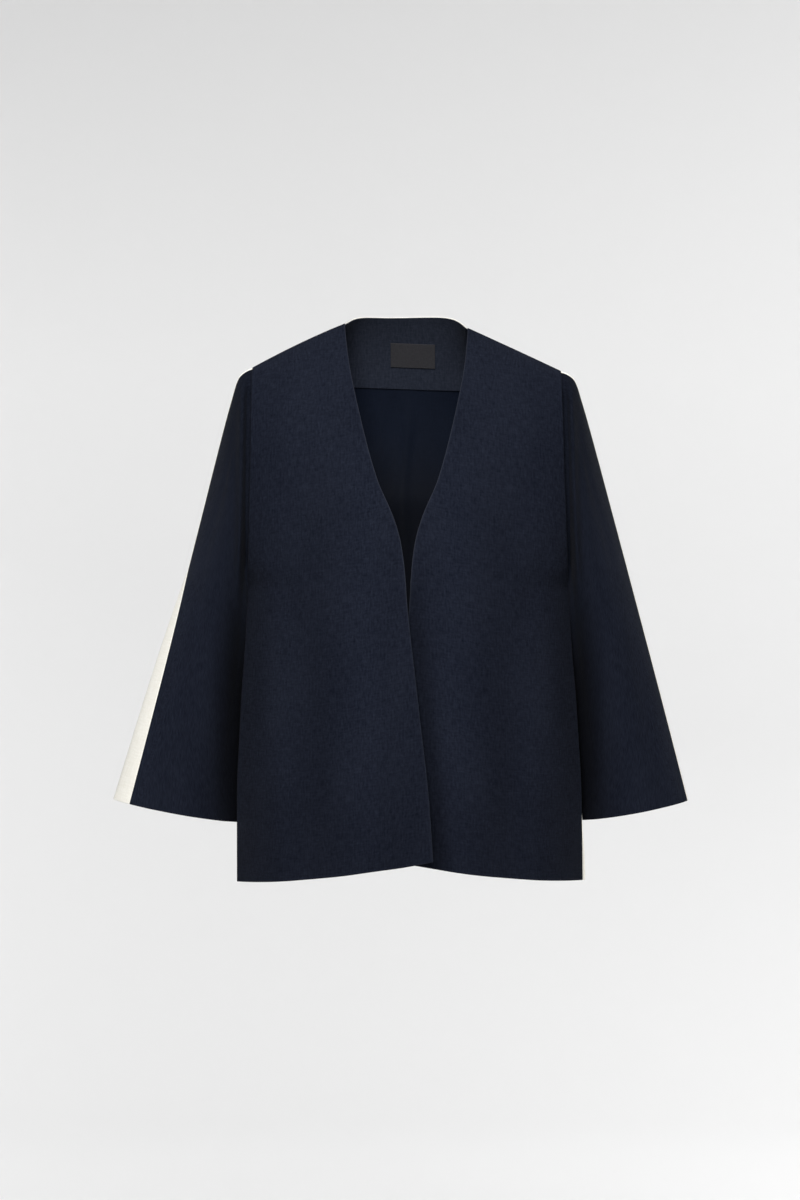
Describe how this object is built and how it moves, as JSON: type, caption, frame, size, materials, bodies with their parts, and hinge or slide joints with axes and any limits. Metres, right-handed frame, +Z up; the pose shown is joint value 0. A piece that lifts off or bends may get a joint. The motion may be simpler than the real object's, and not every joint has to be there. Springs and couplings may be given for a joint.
{
  "type": "collarless open-front denim jacket",
  "caption": "Collarless open-front jacket with wide short sleeves, navy in front and ecru behind, filled out as if worn.",
  "frame": {"origin": "midway between the two points where the shoulder seams meet the neck edge, where the wearer's shoulders carry it", "axes": "+Z up, the front faces -Y, +X towards the wearer's left sleeve"},
  "size_m": [0.691, 0.2477, 0.678],
  "materials": {
    "navy_denim": "matt slub weave",
    "ecru_cloth": "matt twill",
    "navy_lining": "soft sheen",
    "charcoal_label": "woven tape"
  },
  "bodies": {
    "root": {"front_right": "navy_denim", "front_left": "navy_denim", "back": "ecru_cloth", "sleeve_front_right": "navy_denim", "sleeve_back_right": "ecru_cloth", "sleeve_front_left": "navy_denim", "sleeve_back_left": "ecru_cloth", "neck_facing": "navy_denim", "back_lining": "navy_lining", "label": "charcoal_label"}
  },
  "joints": []
}
